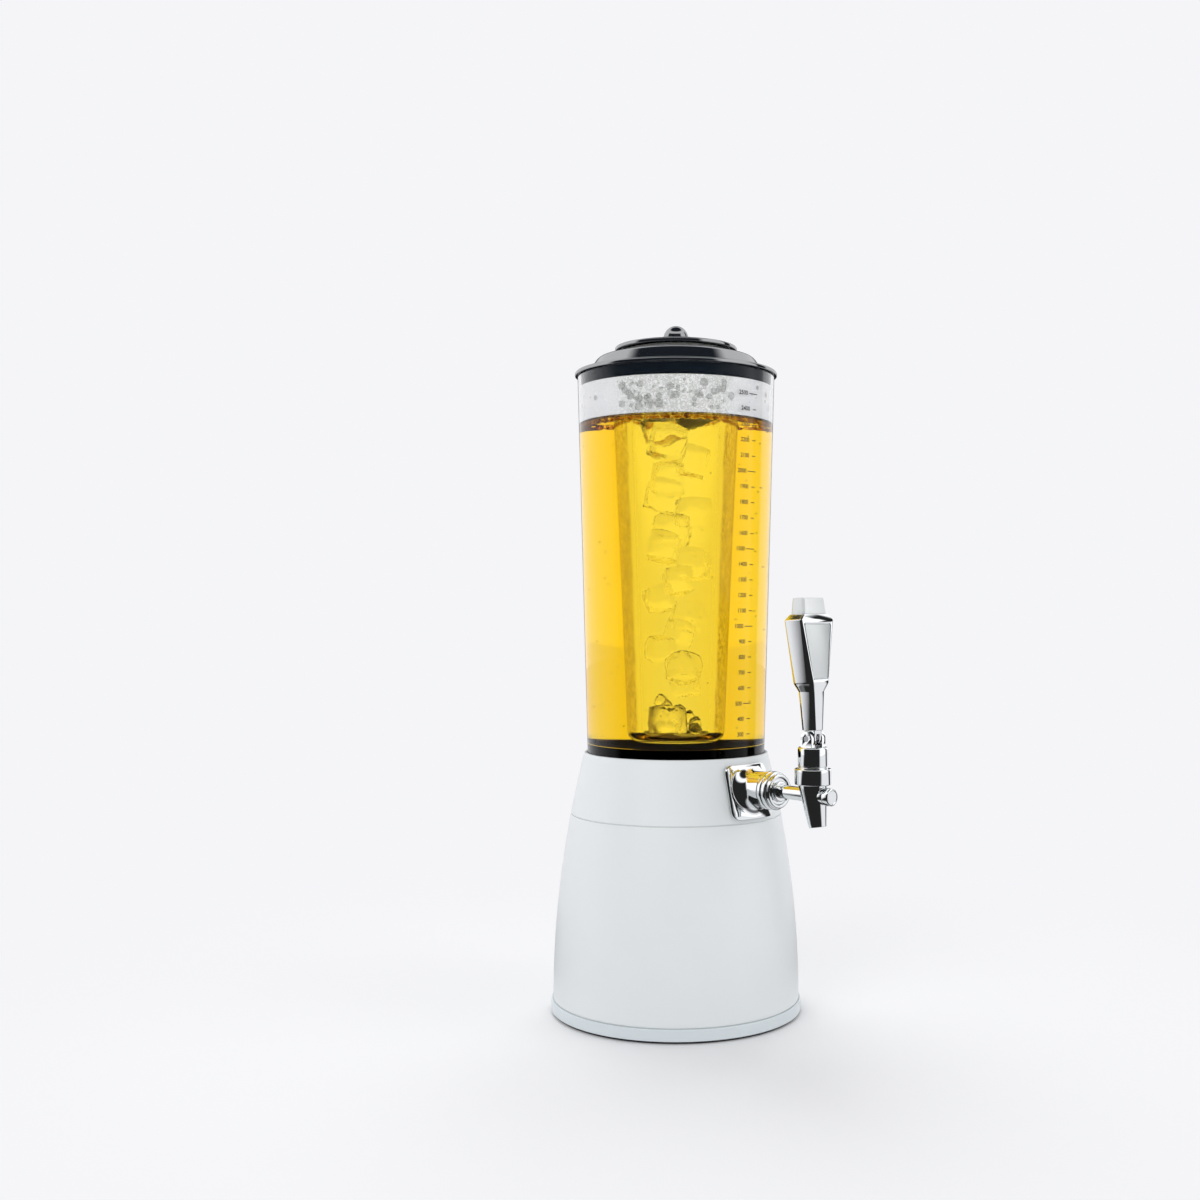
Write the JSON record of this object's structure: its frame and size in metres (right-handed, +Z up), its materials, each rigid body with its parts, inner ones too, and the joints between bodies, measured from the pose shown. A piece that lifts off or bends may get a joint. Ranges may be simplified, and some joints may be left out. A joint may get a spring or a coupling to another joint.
{
  "type": "beer tower dispenser",
  "caption": "Tabletop drink tower: clear tapering container on a bell-shaped base, with a lever tap, a lid and a removable ice column under its own lid.",
  "frame": {"origin": "centre of the flat underside, on the tower's axis", "axes": "+Z up along the tower's axis, the tap points along -Y, +X to the right of someone facing the tap"},
  "size_m": [0.1899, 0.2474, 0.52],
  "materials": {
    "satin_white": "satin",
    "pale_ring": "satin",
    "dark_foot": "matt",
    "grey_floor": "matt",
    "black_gloss": "polished",
    "clear_plastic": "clear, polished",
    "chrome": "polished",
    "panel_silver": "satin",
    "steel": "brushed",
    "seal_rubber": "matt"
  },
  "bodies": {
    "base": {"foot_pad": "dark_foot", "plinth_ring": "pale_ring", "floor_plate": "grey_floor", "floor_screws": "steel", "base_skirt": "satin_white", "base_collar": "satin_white", "collar_screws": "steel", "reservoir": "black_gloss", "reservoir_ring": "black_gloss", "reservoir_screws": "steel", "tube_seal": "seal_rubber", "beer_tube": "clear_plastic", "seat_gasket": "seal_rubber", "tap_seat": "chrome", "coupling_nut": "chrome", "tap_shank": "chrome", "shank_washer": "seal_rubber", "shank_nut": "steel", "tap_body": "chrome", "front_plug": "chrome", "collar_nut": "chrome", "tap_bonnet": "chrome", "stem_seal": "seal_rubber", "lever_pin": "steel"},
    "lever": {"tap_lever": "chrome", "handle_panel": "panel_silver", "handle_cap": "chrome", "link_pin": "steel"},
    "stem": {"valve_stem": "steel", "valve_seal": "seal_rubber"},
    "tower_lid": {"tower_lid": "black_gloss"},
    "ice_column": {"ice_column": "clear_plastic"},
    "column_lid": {"column_lid": "black_gloss", "lid_knob": "black_gloss"}
  },
  "joints": [
    {"name": "lever_tilt", "type": "hinge", "parent": "base", "child": "lever", "pos_m": [0, -0.135, 0.2136], "axis": [1, 0, 0], "range_deg": [0, 40]},
    {"name": "stem_lift", "type": "slide", "parent": "base", "child": "stem", "axis": [0, 0, 1], "range_m": [0, 0.0029]},
    {"name": "lid_lift", "type": "slide", "parent": "base", "child": "tower_lid", "axis": [0, 0, 1], "range_m": [0, 0.3]},
    {"name": "column_lift", "type": "slide", "parent": "tower_lid", "child": "ice_column", "axis": [0, 0, 1], "range_m": [0, 0.3]},
    {"name": "column_lid_lift", "type": "slide", "parent": "ice_column", "child": "column_lid", "axis": [0, 0, 1], "range_m": [0, 0.06]}
  ],
  "couplings": [
    {"joint": "stem_lift", "follows": "lever_tilt", "m_per_rad": 0.0039}
  ]
}
